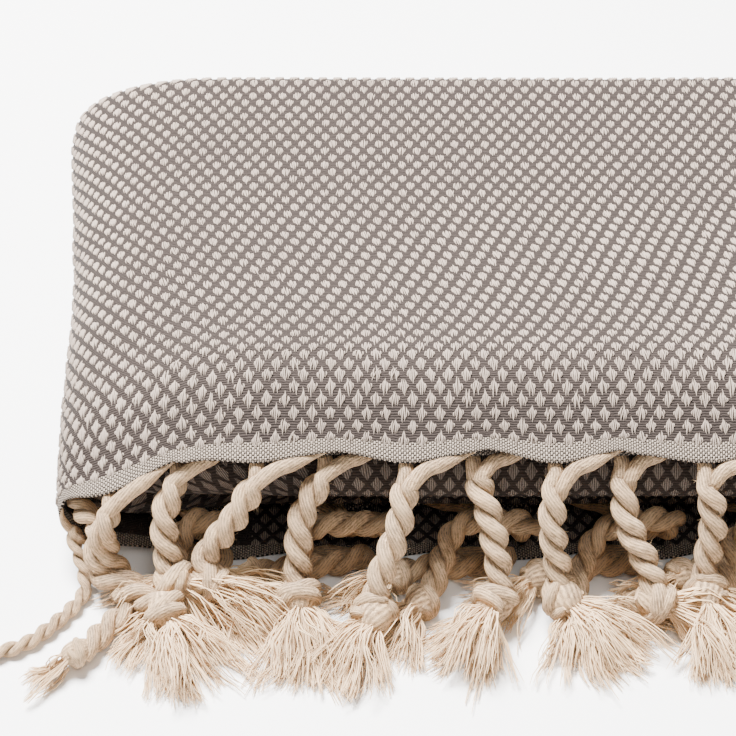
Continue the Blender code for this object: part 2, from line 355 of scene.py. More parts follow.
def fold_lengths(across, outer):
    """Distance from the fringed edge at which each pass and turn ends, and the places that set them."""
    lower = lower_share(across)
    side = LAYER_PITCH / 2 if outer else -LAYER_PITCH / 2
    edge = between(EDGE_OUTER if outer else EDGE_INNER, lower)
    front = between(FRONT_TURN, lower)
    back = between(BACK_TURN, lower)
    near, far = LAYER_PITCH - side, LAYER_PITCH + side
    ends = np.cumsum([back - edge, math.pi * far + 0 * back, back - front, math.pi * near + 0 * back], axis=0)
    return ends, (edge, front, back), (near, far), side


def fold_place(across, along, outer):
    """Distance back, level and sideways pull of a point this far across and along from its fringed edge."""
    ends, (edge, front, back), (near, far), side = fold_lengths(across, outer)
    first_turn = np.clip((along - ends[0]) / far, 0.0, math.pi)
    second_turn = np.clip((along - ends[2]) / near, 0.0, math.pi)
    place = edge + np.minimum(along, ends[0]) - np.clip(along - ends[1], 0.0, back - front)
    place = place + np.maximum(along - ends[3], 0.0) + far * np.sin(first_turn) - near * np.sin(second_turn)
    level = OUTER_LEVEL - LAYER_PITCH / 2 + side
    level = level - far * (1.0 - np.cos(first_turn)) - near * (1.0 - np.cos(second_turn))
    pull = ease(1.0 - (place - front) / PULL_DEPTH) * ease((along - ends[0]) / PULL_START)
    return place, level, pull


def cloth_point(across, along, outer):
    """The point of the cloth this far across the towel and along it from a fringed edge."""
    place, level, pull = fold_place(across, along, outer)
    return settled(across, place + scallop(across, along, outer), level, pull)


def painted_inside_shade(across, along, outer):
    """Share of painted shade: 1 in the layers behind the fringed edge and under the stack, 0 on the outside.
    """
    ends = fold_lengths(across, outer)[0]
    place = fold_place(across, along, outer)[0]
    lower = lower_share(across)
    hidden = np.maximum(ease((along - ends[0]) / SHADE_START), lower) if outer else 1.0
    return hidden * ease((SHADE_REACH - place) / SHADE_FADE) * (1.0 - SHADE_LIFT * lower)


def along_stations(across, outer):
    """Distances along one sheet of the pair, closer together at its edge and in its turns."""
    ends = fold_lengths(across, outer)[0]
    columns = [np.broadcast_to(value, across.shape) for value in NEAR_EDGE]
    start = NEAR_EDGE[-1] + 0 * across
    for end, steps in zip([*ends, np.full(across.shape, TOWEL_LENGTH / 2)], STATION_STEPS):
        columns += [start + (end - start) * (k + 1) / steps for k in range(steps)]
        start = end
    return np.stack(columns, axis=-1)


def towel_mesh():
    """The whole towel as one closed sheet, with its flat place across and along as UV."""
    flat_part = np.arange(0.0, FOLD_BAND[0], COLUMN_PITCH)
    across = np.concatenate([flat_part, np.linspace(*FOLD_BAND, FOLD_COLUMNS), TOWEL_WIDTH - flat_part[::-1]])
    grids, flats, shades = [], [], []
    for outer in (True, False):
        along = along_stations(across, outer)
        wide = np.broadcast_to(across[:, None], along.shape)
        grids.append(cloth_point(wide, along, outer))
        # How much painted shade each point takes, inside the stack
        shades.append(painted_inside_shade(wide, along, outer))
        flats.append(np.stack([wide, along if outer else TOWEL_LENGTH - along], axis=-1))
    # The end-to-end fold joins the outer sheet's last station to the inner sheet's
    last, first = grids[0][:, -1], grids[1][:, -1]
    bulge = np.array([0.0, LAYER_PITCH / 2, 0.0])
    middle, half_gap = (last + first) / 2, (last - first) / 2
    fold = np.stack([middle + half_gap * math.cos(t) + bulge * math.sin(t) for t in END_FOLD], axis=1)
    fold_flat = np.stack([flats[0][:, -1]] * len(END_FOLD), axis=1)
    fold_shade = np.stack([shades[0][:, -1]] * len(END_FOLD), axis=1)
    grid = np.concatenate([grids[0], fold, grids[1][:, ::-1]], axis=1)
    flat = np.concatenate([flats[0], fold_flat, flats[1][:, ::-1]], axis=1)
    shade = np.concatenate([shades[0], fold_shade, shades[1][:, ::-1]], axis=1)
    normal = unit(np.cross(np.gradient(grid, axis=0), np.gradient(grid, axis=1)))
    from_edge = np.minimum(flat[..., 1], TOWEL_LENGTH - flat[..., 1])
    half = between((EDGE_THICKNESS, SHEET_THICKNESS), ease(from_edge / EDGE_TAPER))[..., None] / 2
    points = np.concatenate([(grid + normal * half).reshape(-1, 3), (grid - normal * half).reshape(-1, 3)])
    number = numbered(grid)
    quads = grid_quads(number)
    rim = np.concatenate([number[:, 0], number[-1, 1:], number[-2::-1, -1], number[0, -2:0:-1]])
    after = np.roll(rim, -1)
    sides = np.stack([after, rim, rim + number.size, after + number.size], axis=-1)
    faces = np.concatenate([quads, quads[:, ::-1] + number.size, sides])
    return points, faces, np.concatenate([flat.reshape(-1, 2)] * 2), np.tile(shade.ravel(), 2)


# ---------------- raised diamonds
DIAMOND_WIDE = 4.0 * MM
DIAMOND_LONG = 6.2 * MM
# The first row's centre from the edge, the first column's as a share of a diamond, and the plain selvedge
FIRST_ROW = HEADING + 0.35 * MM
FIRST_COLUMN = 0.25
SELVEDGE = 1.5 * MM
# Strands stand proud on this part of the outer face, in two bands along it, one piece each
RAISED_WIDTH = 300 * MM
RAISED_LENGTH = 170 * MM
RAISED_BANDS = (
    ("raised_diamonds_front", (0.0, 70 * MM)),
    ("raised_diamonds_back", (73 * MM, 165 * MM)),
)
# Diamonds change from a short, rough kind near the edge to a full, even one further back
FULL_START = 25 * MM
FULL_FADE = 45 * MM
STRAND_PITCH = 0.47 * MM
STRAND_WIDTH = 0.40 * MM
STRAND_RISE = 0.45 * MM
# Strands of a diamond: place across it, half length near the edge and further back, offset along it, and how
# far its ends are drawn in towards the middle
STRANDS = (
    (-2.25, 0.70 * MM, 1.00 * MM, 0.1 * MM, 0.30),
    (-1.35, 1.35 * MM, 1.60 * MM, -0.1 * MM, 0.45),
    (-0.52, 2.05 * MM, 1.90 * MM, 0.05 * MM, 0.60),
    (0.52, 2.10 * MM, 1.90 * MM, -0.05 * MM, 0.60),
    (1.35, 1.40 * MM, 1.60 * MM, 0.15 * MM, 0.45),
    (2.25, 0.70 * MM, 1.00 * MM, -0.05 * MM, 0.30),
)


def diamond_centres(across_limits, along_limits):
    """Centres of the diamonds in a stretch, every other row half a diamond over."""
    rows = range(int(along_limits[0] / DIAMOND_LONG * 2), int(along_limits[1] / DIAMOND_LONG * 2) + 1)
    columns = np.arange(int(across_limits[0] / DIAMOND_WIDE), int(across_limits[1] / DIAMOND_WIDE) + 1)
    centres = []
    for row in rows:
        across = (columns + FIRST_COLUMN + 0.5 * (row % 2)) * DIAMOND_WIDE
        across = across[(across > SELVEDGE) & (across < TOWEL_WIDTH - SELVEDGE)]
        along = FIRST_ROW + row * DIAMOND_LONG / 2
        centres.append(np.stack([across, np.full(across.shape, along)], axis=-1))
    return np.concatenate(centres)


def floats_mesh(across_limits, along_limits):
    """Every diamond in a stretch of the outer face, as strands of raised warp.

    uv is (side to side, end to end plus ten times the diamond's own tone).
    """
    centres = diamond_centres(across_limits, along_limits)
    heap = Heap()
    shares = np.array([-1.0, -0.45, 0.45, 1.0])
    width = STRAND_WIDTH / 2 * np.array([0.35, 1.0, 1.0, 0.35])
    rise = SHEET_THICKNESS / 2 + STRAND_RISE * np.array([-0.2, 1.0, 1.0, -0.2])
    tone = random.normal(0.0, 1.0, len(centres))
    far = ease((centres[:, 1] - FULL_START) / FULL_FADE)
    for place, near_half, far_half, offset, drawn in STRANDS:
        # Chance in the length, the place along, where the near end stops, the place across and the slant
        jitter = random.normal(0.0, 1.0, (len(centres), 5))
        half = near_half + (far_half - near_half) * far
        rough = 1.0 - 0.45 * far
        length = half * (1.0 + 0.13 * rough * jitter[:, 0])
        middle = centres[:, 1] + offset + 0.13 * MM * rough * jitter[:, 1]
        low = np.maximum(middle - length, HEADING - 1.2 * MM + 0.5 * MM * jitter[:, 2])
        high = np.maximum(middle + length, low + 0.4 * MM)
        along = (low + high)[:, None] / 2 + (high - low)[:, None] / 2 * shares
        drawn_in = place * STRAND_PITCH * (1.0 - 0.12 * far[:, None]) * (1.0 - drawn * shares**2)
        across = (centres[:, 0] + 0.05 * MM * jitter[:, 3])[:, None] + drawn_in
        slant = np.clip(-place, -1.0, 1.0) * 0.10 * (1.0 - far)
        across = across + (slant + 0.09 * jitter[:, 4])[:, None] * half[:, None] * shares
        normal = face_normals(across, along)
        rows = []
        for side in (-1, 0, 1):
            height = rise if side == 0 else SHEET_THICKNESS / 2 - 0.12 * MM
            centre = cloth_point(across + side * width, along, True)
            rows.append(centre + normal * np.broadcast_to(height, shares.shape)[None, :, None])
        points = np.stack(rows, axis=2)
        number = numbered(points)
        a, b = number[:, :-1], number[:, 1:]
        quads = np.stack([a[..., :-1], b[..., :-1], b[..., 1:], a[..., 1:]], axis=-1).reshape(-1, 4)
        round_it = np.array([0.0, 0.5, 1.0])
        end_to_end = (shares[None] + 1.0) / 2 + 10.0 * tone[:, None]
        flat = np.stack(np.broadcast_arrays(round_it, end_to_end[..., None]), axis=-1)
        # Strands inside the stack take painted shade too
        heap.add(points, flat, quads, deep=painted_inside_shade(across, along, True)[..., None])
    return heap


def face_normals(across, along):
    """Which way the outer face looks."""
    step = 0.25 * MM
    a = cloth_point(across + step, along, True) - cloth_point(across - step, along, True)
    b = cloth_point(across, along + step, True) - cloth_point(across, np.maximum(along - step, 0.0), True)
    return unit(np.cross(b, a))


# ---------------- cords, knots and tufts
PLY_RADIUS = 1.75 * MM
PLY_OFFSET = 1.5 * MM
PLY_SIDES = 12
# A ply's surface is darkened with painted shade up to the first distance from the cord's middle, and plain
# from the second on
CREVICE = (1.0 * MM, 2.1 * MM)
TWIST_PITCH = 12.0 * MM
CORD_STEP = 0.6 * MM
CORD_STATIONS = 30
# A ply's lead from where it is gathered: each ply's radius there, the points along it, and how many of the
# cord's own points it takes the place of
LEAD_RADII = (1.4 * MM, 0.3 * MM)
LEAD_POINTS = 18
LEAD_JOIN = 4
NO_CORE = 1e3
FIBRES = 70


def add_cord(heap, fuzz, path, phase, starts, size=1.0, lead_radii=LEAD_RADII):
    """Two plies twisted round each other along a path; starts are the points each ply is gathered from."""
    path = smooth_path(path, max(CORD_STATIONS, int(run_length(path)[-1] / CORD_STEP)))
    side, up = carried_frames(path)
    length = run_length(path)
    # The plies lie closer together over the first 4 mm
    place = PLY_OFFSET * size * (0.55 + 0.45 * ease(length / (4 * MM)))
    plies = []
    for ply in (0, 1):
        angle = phase + ply * math.pi - 2 * math.pi * length / (TWIST_PITCH * max(size, 0.7))
        centre = path + (place * np.cos(angle))[:, None] * side + (place * np.sin(angle))[:, None] * up
        radii = PLY_RADIUS * size * (1.0 + 0.04 * np.sin(length / (2.3 * MM) + ply * 2))
        lead = np.concatenate([starts[ply], centre[LEAD_JOIN - 1 : LEAD_JOIN + 1]])
        lead = smooth_path(lead, LEAD_POINTS)[:-1]
        grown = ease(np.linspace(0.05, 1.0, len(lead)) * (1.9 if ply else 2.0))
        radii = np.concatenate([between((lead_radii[ply], radii[0]), grown), radii[LEAD_JOIN:]])
        core = np.concatenate([np.full(lead.shape, NO_CORE), path[LEAD_JOIN:]])
        centre = np.concatenate([lead, centre[LEAD_JOIN:]])
        add_tube(heap, centre, radii, PLY_SIDES, core=core, crevice=(CREVICE[0] * size, CREVICE[1] * size))
        plies.append((centre, radii))
    add_fuzz(fuzz, plies)


def level_frame(direction):
    """Two directions across a given one, the first of them level."""
    side = unit(np.cross(direction, [0.0, 0.0, 1.0]) + 1e-6)
    return side, np.cross(side, direction)


# The bundles of a knot: which way each leans, where it starts round the core, and its thickness as a share of
# the knot's size, as all its measures are
KNOT_BUNDLES = ((1.0, 0.0, 0.40), (-1.0, 1.1, 0.36))
BUNDLE_POINTS = 36


def add_knot(heap, place, direction, size, turn):
    """An overhand knot: a soft core with two thick bundles that cross over it."""
    side, up = level_frame(direction)
    at = np.linspace(-1.0, 1.0, 15)
    core = place + direction * size * 0.95 * at[:, None]
    radii = size * 0.84 * np.sqrt(np.maximum(1.0 - (0.93 * at) ** 2, 0.02))
    add_tube(heap, core, radii, 14, frames=[np.broadcast_to(way, core.shape) for way in (side, up)])
    for lean, start, thick in KNOT_BUNDLES:
        angle = turn + start + np.linspace(-0.15 * math.pi, 1.5 * math.pi, BUNDLE_POINTS)
        wave = lean * np.linspace(-0.5, 0.5, BUNDLE_POINTS)[:, None]
        loop = place + size * 0.72 * (np.cos(angle)[:, None] * side + np.sin(angle)[:, None] * up)
        loop = loop + size * wave * direction
        loop[:, 2] = np.maximum(loop[:, 2], 0.4 * size)
        ends = np.sin(np.linspace(0.0, math.pi, BUNDLE_POINTS)) ** 0.35
        add_tube(heap, loop, size * thick * np.maximum(ends, 0.25), 10)


THREAD_RADIUS = 0.15 * MM
THREAD_TAPER = np.array([1.0, 1.1, 1.1, 1.05, 1.0, 1.0, 0.9, 0.45])
THREAD_SIDES = 3
THREADS_PER_LOCK = 7
THREAD_DROOP = 0.5
LOCK_PILE = 4.5 * MM
# Waves of a tuft: a lock's reach in mm, its turns along the thread, and a thread's own reach in mm
LOCK_WAVES = ((1.7, 2.6, 0.25), (1.0, 6.5, 0.2), (0.4, 11.0, 0.13))


def add_tuft(heap, place, direction, count, length, spread):
    """Loose threads that fan out of a knot in wavy locks and fall to the floor."""
    side, up = level_frame(direction)
    locks = count // THREADS_PER_LOCK
    lock = random.integers(0, locks, count)
    ring = (2 * math.pi * random.random(locks))[lock] + random.normal(0.0, 0.16, count)
    out = np.sqrt(random.random(locks))[lock] * (1.0 + random.normal(0.0, 0.10, count))
    tilt = np.stack([np.cos(ring), np.sin(ring)], axis=-1)
    spreads = spread * (0.45 + 0.55 * random.random(locks))[lock] * out
    heads = unit(direction + tilt[:, :1] * spreads[:, None] * side + tilt[:, 1:] * spreads[:, None] * up)
    starts = place + 1.9 * MM * out[:, None] * (tilt[:, :1] * side + tilt[:, 1:] * up)
    lengths = length * (0.70 + 0.38 * random.random(locks)[lock] + 0.05 * random.normal(0.0, 1.0, count))
    at = np.linspace(0.0, 1.0, len(THREAD_TAPER))
    path = starts[:, None] + heads[:, None] * (lengths[:, None] * at)[..., None]
    for reach, turns, own in LOCK_WAVES:
        phase = (2 * math.pi * random.random((locks, 1)))[lock]
        way = random.normal(0.0, reach * 0.55 * MM, (locks, 3))[lock]
        way = way + random.normal(0.0, own * MM, (count, 3))
        wave = np.sin(turns * at[None] + phase) - np.sin(phase)
        path = path + way[:, None] * (wave * np.minimum(3.0 * at[None], 1.0))[..., None]
    path = path + random.normal(0.0, 0.5 * MM, (count, 3))[:, None] * (at**2)[None, :, None]
    path[..., 2] -= THREAD_DROOP * lengths[:, None] * at**2
    pile = THREAD_RADIUS + LOCK_PILE * random.random(locks)[lock][:, None] * (1.0 - 0.55 * at[None])
    path[..., 2] = np.maximum(path[..., 2], pile + 0.4 * MM * random.random((count, 1)))
    run = unit(np.gradient(path, axis=1))
    across = unit(np.cross(run, [0.0, 0.0, 1.0]) + 1e-9)
    over = np.cross(across, run)
    angle = 2 * math.pi * np.arange(THREAD_SIDES) / THREAD_SIDES
    thin = THREAD_RADIUS * THREAD_TAPER * (0.75 + 0.5 * random.random((count, 1)))
    ring_points = np.cos(angle)[:, None] * across[:, :, None] + np.sin(angle)[:, None] * over[:, :, None]
    points = path[:, :, None] + thin[:, :, None, None] * ring_points
    number = numbered(points)
    turned = np.roll(number, -1, axis=2)
    quads = np.stack([number[:, :-1], number[:, 1:], turned[:, 1:], turned[:, :-1]], axis=-1).reshape(-1, 4)
    uv = np.stack(np.broadcast_arrays(random.random((count, 1, 1)), at[None, :, None] + 0 * angle), axis=-1)
    heap.add(points, uv, quads[:, ::-1])


FIBRE_HALF_WIDTH = 0.025 * MM
FIRST_FIBRE = 12


def add_fuzz(heap, plies):
    """Short, very fine fibres that stand off the plies of a cord, where the other ply isn't in the way."""
    for (centre, radii), (other, _) in (plies, plies[::-1]):
        at = random.integers(FIRST_FIBRE, len(centre) - 1, FIBRES)
        run = unit(centre[at] - centre[at - 1])
        out = unit(np.cross(run, random.normal(0.0, 1.0, (FIBRES, 3))))
        start = centre[at] + out * (radii[at] - 0.03 * MM)[:, None]
        free = np.linalg.norm(start - other[at], axis=1) > radii[at]
        run, out, start = run[free], out[free], start[free]
        along = run * random.choice([-1.0, 1.0], (len(run), 1)) + 0.5 * random.normal(0.0, 1.0, run.shape)
        share = np.linspace(0.0, 1.0, 4)[None, :, None]
        lengths = (0.4 + 0.9 * random.random((len(run), 1, 1)) ** 2) * MM
        line = start[:, None] + lengths * (0.8 * out[:, None] * share + 0.7 * along[:, None] * share**2)
        line[..., 2] = np.maximum(line[..., 2], 0.1 * MM)
        wide = unit(np.cross(out, along))[:, None] * FIBRE_HALF_WIDTH * (1.3 - share)
        points = np.stack([line - wide, line + wide], axis=2)
        number = numbered(points)
        quads = np.stack([number[:, :-1, 0], number[:, 1:, 0], number[:, 1:, 1], number[:, :-1, 1]], axis=-1)
        heap.add(points, np.zeros(points.shape[:3] + (2,)), quads.reshape(-1, 4))


def fold_to_frame(points):
    """Millimetres from the fold's own corner, as points in the frame."""
    return np.asarray(points, float) * MM - ORIGIN


# Knots lie this far beyond the cord's end, and tufts start this far beyond it
KNOT_GAP = 1.5 * MM
TUFT_GAP = 4.0 * MM
# Top cords, by end and place along it: knot's x and y, its height, the tuft's heading in degrees from -Y
# towards +X, tuft length, spread, and how the cord sways on the way, all lengths in millimetres
TOP_CORDS = {
    True: (
        (0, 207.0, -12.0, 6.0, 15, 18, 0.6, 2.0),
        (1, 172.0, -13.0, 6.0, -20, 18, 0.6, -2.0),
        (2, 142.0, -11.0, 6.0, 10, 18, 0.6, 1.5),
        (3, 109.0, -13.0, 6.5, 48, 20, 0.7, -1.2),
        (4, 69.0, -16.5, 5.5, -22, 17, 0.6, 1.0),
        (5, 31.0, -9.0, 7.0, 75, 19, 0.6, 0.5),
        (6, 22.0, -16.0, 5.5, 30, 18, 0.8, -7.0),
    ),
    False: (
        (0, 222.0, -12.0, 6.0, -15, 18, 0.6, 1.0),
        (1, 190.0, -12.0, 6.0, 20, 18, 0.6, -1.0),
        (2, 158.0, -12.0, 6.0, -30, 18, 0.6, 2.0),
        (3, 129.5, -14.5, 6.5, 80, 20, 0.65, -2.0),
        (4, 96.0, -13.5, 6.0, -30, 17, 0.7, 1.0),
        (5, 51.5, -12.0, 6.5, 12, 20, 0.6, -2.5),
        (6, 22.5, -9.5, 7.0, 72, 22, 0.75, -2.0),
    ),
}
# The outer end's last top cord goes round its own way, beside the side fold
NOSE_CORD = ((8.9, -3.4, 19.0), (6.4, -3.0, 11.5), (6.6, -5.2, 7.0), (10.5, -8.6, 5.6), (16.0, -12.5, 6.0))
TOP_THREADS = 400
LOWER_THREADS = 190
CORNER_THREADS = 90
# Where the plies of a top cord leave the cloth, in millimetres: the first from inside it, from the cord's
# root, and the second from points on the gathered edge, which are these shares of the way to the next cord
TOP_LEAD = ((-0.2, 3.0, -1.7), (-0.2, 0.9, -2.0), (-0.2, -0.5, -2.9))
UNDER_EDGE = ((0.0, 1.0, -0.7), (0.0, 0.3, -1.2), (0.0, -0.3, -1.5), (0.0, -0.7, -1.9))
GATHERED_SHARES = np.array([0.46, 0.34, 0.22, 0.12])


def in_mm(*place):
    """A place or places given in millimetres."""
    return np.array(place) * MM


def root_points(across, outer):
    """Where a cord leaves the cloth, and the scalloped edge that its other ply is gathered along."""
    root = cloth_point(np.array(across), np.array(0.0), outer)
    return root, cloth_point(across - GATHERED_SHARES * CORD_SPACING, 0.0 * GATHERED_SHARES, outer)


def top_cord(cords, tufts, row, outer):
    """A cord of the top half, which hangs in front of the gap with its knot on the floor."""
    index, x, y, z, heading, tuft, spread, sway = row
    across = FIRST_CORD[outer] + index * CORD_SPACING
    root, gathered = root_points(across, outer)
    knot = fold_to_frame([x, y, z + 1.5])
    first = root + in_mm(0.0, -1.6, -3.2)
    low = knot + in_mm(0.0, 2.5, 4.5)
    bend = first * 0.55 + low * 0.45 + in_mm(sway, -0.8, 0.0)
    path = [first, bend, low, knot]
    if outer and row is TOP_CORDS[outer][-1]:
        path = [first, *fold_to_frame(NOSE_CORD), knot]
    starts = [root + in_mm(*TOP_LEAD), gathered + in_mm(*UNDER_EDGE)]
    add_cord(cords, tufts, path, 1.9 + 0.8 * index, starts)
    angle = math.radians(heading)
    direction = unit(np.array([math.sin(angle), -math.cos(angle), -0.25]))
    add_knot(cords, knot + direction * KNOT_GAP, direction, 5.0 * MM, 0.7 * index + (0 if outer else 1.4))
    add_tuft(tufts, knot + direction * TUFT_GAP, direction, TOP_THREADS, tuft * MM, spread + 0.3)


# The two cords on the side fold, down its front and away to the left over the floor
CORNER_LEAD_RADII = (0.4 * MM, 0.25 * MM)
CORNER_ROUTES = {
    True: (
        (-0.2, 2.6, 11.0), (2.2, -2.3, 5.4), (3.0, -7.3, 2.6), (0.4, -12.6, 2.0), (-4.2, -18.7, 2.0),
        (-8.7, -22.8, 2.0), (-13.7, -24.8, 1.9), (-16.5, -25.6, 1.9),
    ),
    False: (
        (7.5, -2.0, 15.0), (9.5, -4.5, 9.0), (14.5, -8.0, 4.4), (16.0, -11.5, 3.3), (13.0, -15.0, 3.3),
        (9.5, -18.5, 3.3), (7.0, -23.0, 3.3), (4.5, -26.0, 3.3),
    ),
}


def corner_cord(cords, tufts, outer):
    """A thinner cord that starts on the side fold."""
    root, gathered = root_points(FIRST_CORD[outer] + len(TOP_CORDS[outer]) * CORD_SPACING, outer)
    path = np.concatenate([[root + in_mm(0.3, -1.4, -0.2)], fold_to_frame(CORNER_ROUTES[outer])])
    starts = [root + in_mm((0.3, 2.0, 0.0), (0.2, -0.4, 0.2)), gathered + in_mm(0.4, 0.2, 0.0)]
    add_cord(cords, tufts, path, 0.4, starts, 0.55 if outer else 0.9, CORNER_LEAD_RADII)
    direction = unit(np.array([-0.75, -0.55, -0.05]))
    add_knot(cords, path[-1] + direction * KNOT_GAP + in_mm(0.0, 0.0, 0.9), direction, 3.2 * MM, 1.0)
    add_tuft(tufts, path[-1] + direction * TUFT_GAP, direction, CORNER_THREADS, 9 * MM, 0.5)


# A cord of the bottom half, in millimetres: x from its root, then y and z over the ground. The outer end's
# run just in front of the towel; the inner end's bend back on themselves and come forward over them.
FIRST_LOWER = 8
LOWER_ROUTES = {
    True: (
        (-0.5, 3.0, 3.2), (-3.0, 1.0, 3.3), (-8.0, -0.2, 3.3), (-14.0, -0.6, 3.3), (-20.0, -1.4, 3.4),
        (-25.5, -3.6, 4.0),
    ),
    False: (
        (0.5, 9.5, 7.0), (7.0, 7.0, 8.2), (11.5, 4.6, 11.0), (9.5, 3.6, 13.4), (1.0, 3.0, 14.0),
        (-5.0, 2.2, 12.9), (-8.0, -0.6, 9.8), (-9.5, -4.6, 7.6), (-11.0, -8.6, 5.4), (-13.0, -12.0, 4.2),
    ),
}


def lower_cord(cords, tufts, index, outer):
    """A cord of the bottom half. The first one, beside the side fold, has less room to the left."""
    root, gathered = root_points(FIRST_CORD[outer] + index * CORD_SPACING, outer)
    starts = [root + in_mm((0.0, 0.6, 1.2), (0.0, -0.9, 1.5)), gathered + in_mm(0.0, -0.3, 1.4)]
    route = np.array(LOWER_ROUTES[outer])
    route[:, 0] *= 0.4 if index == FIRST_LOWER else 1.0
    sway = (0.4 if outer else 0.8) * np.sin(np.arange(len(route)) * 1.3 + 2.1 * index)
    path = fold_to_frame(route + np.stack([0 * sway, sway, 0 * sway], axis=-1))
    path[:, 0] = root[0] + route[:, 0] * MM
    path = np.concatenate([[root + in_mm(0.0, -2.0, 2.0)], path])
    add_cord(cords, tufts, path, 0.9 * index, starts, 0.95)
    direction = unit(np.array([-0.8 if outer else 0.6 * math.sin(2.3 * index), -0.7, 0.0]))
    add_knot(cords, path[-1] + direction * KNOT_GAP, direction, 4.2 * MM, 0.8 * index)
    add_tuft(tufts, path[-1] + direction * TUFT_GAP, direction, LOWER_THREADS, 15 * MM, 0.95)


def fringe(outer):
    """The cords and knots of one end of the towel, and its loose threads and fibres."""
    cords, tufts = Heap(), Heap()
    for row in TOP_CORDS[outer]:
        top_cord(cords, tufts, row, outer)
    corner_cord(cords, tufts, outer)
    for index in range(FIRST_LOWER, CORDS_PER_END):
        lower_cord(cords, tufts, index, outer)
    return cords, tufts


# ---------------- materials
class Graph:
    """Short ways to add nodes to a material."""

    def __init__(self, name):
        self.material = bpy.data.materials.new(name)
        self.material.use_nodes = True
        self.nodes, self.links = self.material.node_tree.nodes, self.material.node_tree.links
        self.shader = self.nodes["Principled BSDF"]

    def set(self, socket, value):
        if isinstance(value, bpy.types.NodeSocket):
            self.links.new(value, socket)
        else:
            socket.default_value = value

    def math(self, operation, *values):
        node = self.nodes.new("ShaderNodeMath")
        node.operation = operation
        for socket, value in zip(node.inputs, values):
            self.set(socket, value)
        return node.outputs[0]

    def times(self, first, second):
        return self.math("MULTIPLY", first, second)

    def plus(self, first, second):
        return self.math("ADD", first, second)

    def minus(self, first, second):
        return self.math("SUBTRACT", first, second)

    def wave(self, value, pitch=1.0):
        """From 0 up to 1 and back over each pitch."""
        return self.math("ABSOLUTE", self.math("SINE", self.times(value, math.pi / pitch)))

    def centred(self, noise, size):
        return self.times(self.minus(noise, 0.5), size)

    def smooth(self, value, low, high):
        node = self.nodes.new("ShaderNodeMapRange")
        node.interpolation_type = "SMOOTHSTEP"
        for socket, amount in zip(node.inputs, (value, low, high, 0.0, 1.0)):
            self.set(socket, amount)
        return node.outputs[0]

    def mix(self, share, first, second):
        # Sockets 6 and 7, and output 2, are the colours of a Mix node
        node = self.nodes.new("ShaderNodeMix")
        node.data_type = "RGBA"
        self.set(node.inputs[0], share)
        self.set(node.inputs[6], first)
        self.set(node.inputs[7], second)
        return node.outputs[2]

    def uv(self):
        """The uv as a vector, and its two parts."""
        node = self.nodes.new("ShaderNodeUVMap")
        node.uv_map = "cloth"
        split = self.nodes.new("ShaderNodeSeparateXYZ")
        self.links.new(node.outputs[0], split.inputs[0])
        return node.outputs[0], split.outputs[0], split.outputs[1]

    def place(self):
        return self.nodes.new("ShaderNodeTexCoord").outputs["Object"]

    def pair(self, first, second):
        node = self.nodes.new("ShaderNodeCombineXYZ")
        self.links.new(first, node.inputs[0])
        self.links.new(second, node.inputs[1])
        return node.outputs[0]

    def noise(self, vector, scale, detail=2.0):
        node = self.nodes.new("ShaderNodeTexNoise")
        self.links.new(vector, node.inputs["Vector"])
        node.inputs["Scale"].default_value = scale
        node.inputs["Detail"].default_value = detail
        return node.outputs[0]

    def bump(self, height, strength, distance):
        node = self.nodes.new("ShaderNodeBump")
        node.inputs["Strength"].default_value = strength
        node.inputs["Distance"].default_value = distance
        self.links.new(height, node.inputs["Height"])
        self.links.new(node.outputs[0], self.shader.inputs["Normal"])

    def shaded(self, colour, share, shade):
        """The colour, with painted shade mixed in where the mesh asks for it."""
        deep = self.nodes.new("ShaderNodeAttribute")
        deep.attribute_name = "deep"
        return self.mix(self.math("MULTIPLY", deep.outputs["Fac"], share), colour, shade)

    def finish(self, colour, roughness=0.95, sheen=0.04):
        self.set(self.shader.inputs["Base Color"], colour)
        self.shader.inputs["Roughness"].default_value = roughness
        self.shader.inputs["Specular IOR Level"].default_value = 0.08
        self.shader.inputs["Sheen Weight"].default_value = sheen
        self.shader.inputs["Sheen Roughness"].default_value = 0.5
        return self.material


# Colours are darker than the yarn looks, because the view transform and the lights lift them
IVORY = (0.335, 0.268, 0.220, 1.0)
HEADING_IVORY = (0.40, 0.325, 0.262, 1.0)
# Painted shade between the strands of a diamond, under the raised strands and along their sides
IVORY_SHADE = (0.055, 0.042, 0.034, 1.0)
RIB = (0.045, 0.035, 0.031, 1.0)
RIB_GAP = (0.008, 0.006, 0.005, 1.0)
# Painted shade on the layers inside the stack, where they lie in shadow
INSIDE_PAINTED_SHADE = (0.012, 0.007, 0.004, 1.0)
CREAM = (0.88, 0.60, 0.345, 1.0)
# Partly painted shade in the grooves between a ply's strands, partly fibre marks and random tone
CREAM_SHADE = (0.32, 0.185, 0.098, 1.0)
# Painted shade in the crevices where the two plies of a cord press together
CREVICE_PAINTED_SHADE = (0.11, 0.050, 0.022, 1.0)
TUFT_CREAM = (0.73, 0.52, 0.315, 1.0)
TUFT_SHADE = (0.62, 0.42, 0.24, 1.0)


# The weave, in millimetres: its ribs, the warp strands of a diamond and the threads of the heading
RIB_PITCH = 0.62
FLOAT_PITCH = 0.5
THREAD_PITCH = 0.55
# A woven diamond: half its width and length at a reach of 1, its reach, and how much less under raised ones
HALF_WIDE = 1.05
HALF_LONG = 1.55
DIAMOND_REACH = 1.38
RAISED_CUT = 0.30
# How much painted shade goes onto the layers inside the stack
INSIDE_SHADE = 0.60
# How much painted shade goes into the crevices between plies
CREVICE_SHADE = 0.85
# Strands round a ply, and how many of them pass in each millimetre along it
STRANDS_ROUND = 16.0
STRANDS_ALONG = 0.34


